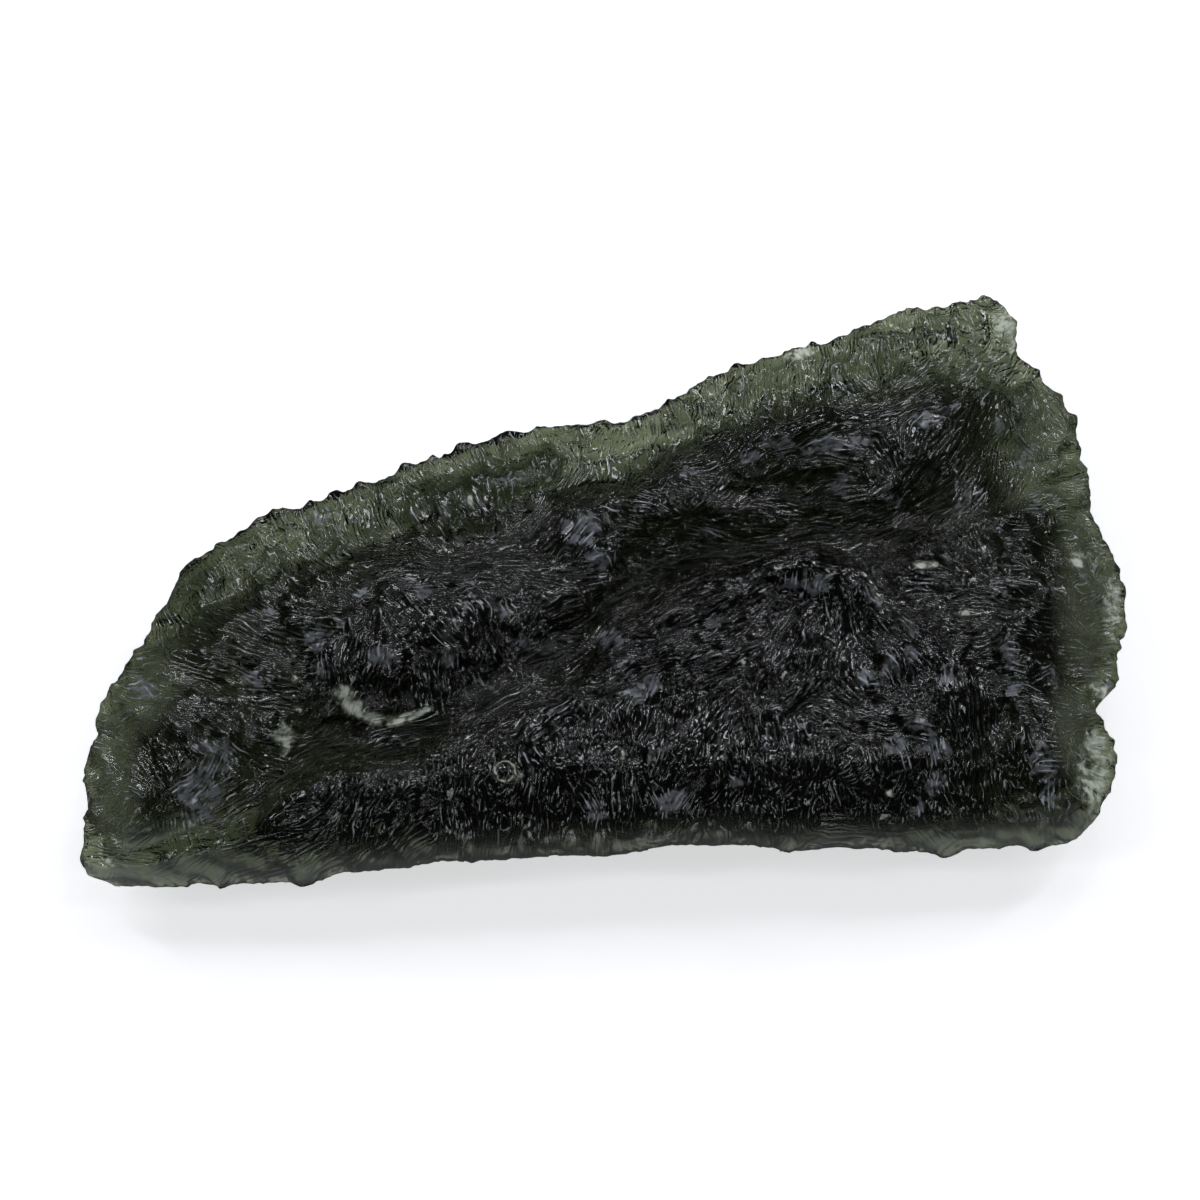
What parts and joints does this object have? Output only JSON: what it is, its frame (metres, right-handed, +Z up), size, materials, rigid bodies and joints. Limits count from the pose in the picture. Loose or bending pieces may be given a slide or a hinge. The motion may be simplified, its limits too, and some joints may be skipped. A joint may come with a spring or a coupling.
{
  "type": "moldavite",
  "caption": "Lying wedge of dark bottle-green natural glass with etched valleys, bowls and lumps, a thick near edge, a thin far edge and a small worn flat to rest on.",
  "frame": {"origin": "on the surface the stone rests on, below the middle of its bounding box", "axes": "+X along the length, from the left tip to the notched end; +Y from the thick near edge to the thin far edge; +Z up, out of the broad face"},
  "size_m": [0.046, 0.0286, 0.0095],
  "materials": {
    "moldavite_glass": "naturally etched glass, glossy in the grooves, near black where thick and bottle green where thin"
  },
  "bodies": {
    "root": {"moldavite": "moldavite_glass"}
  },
  "joints": []
}
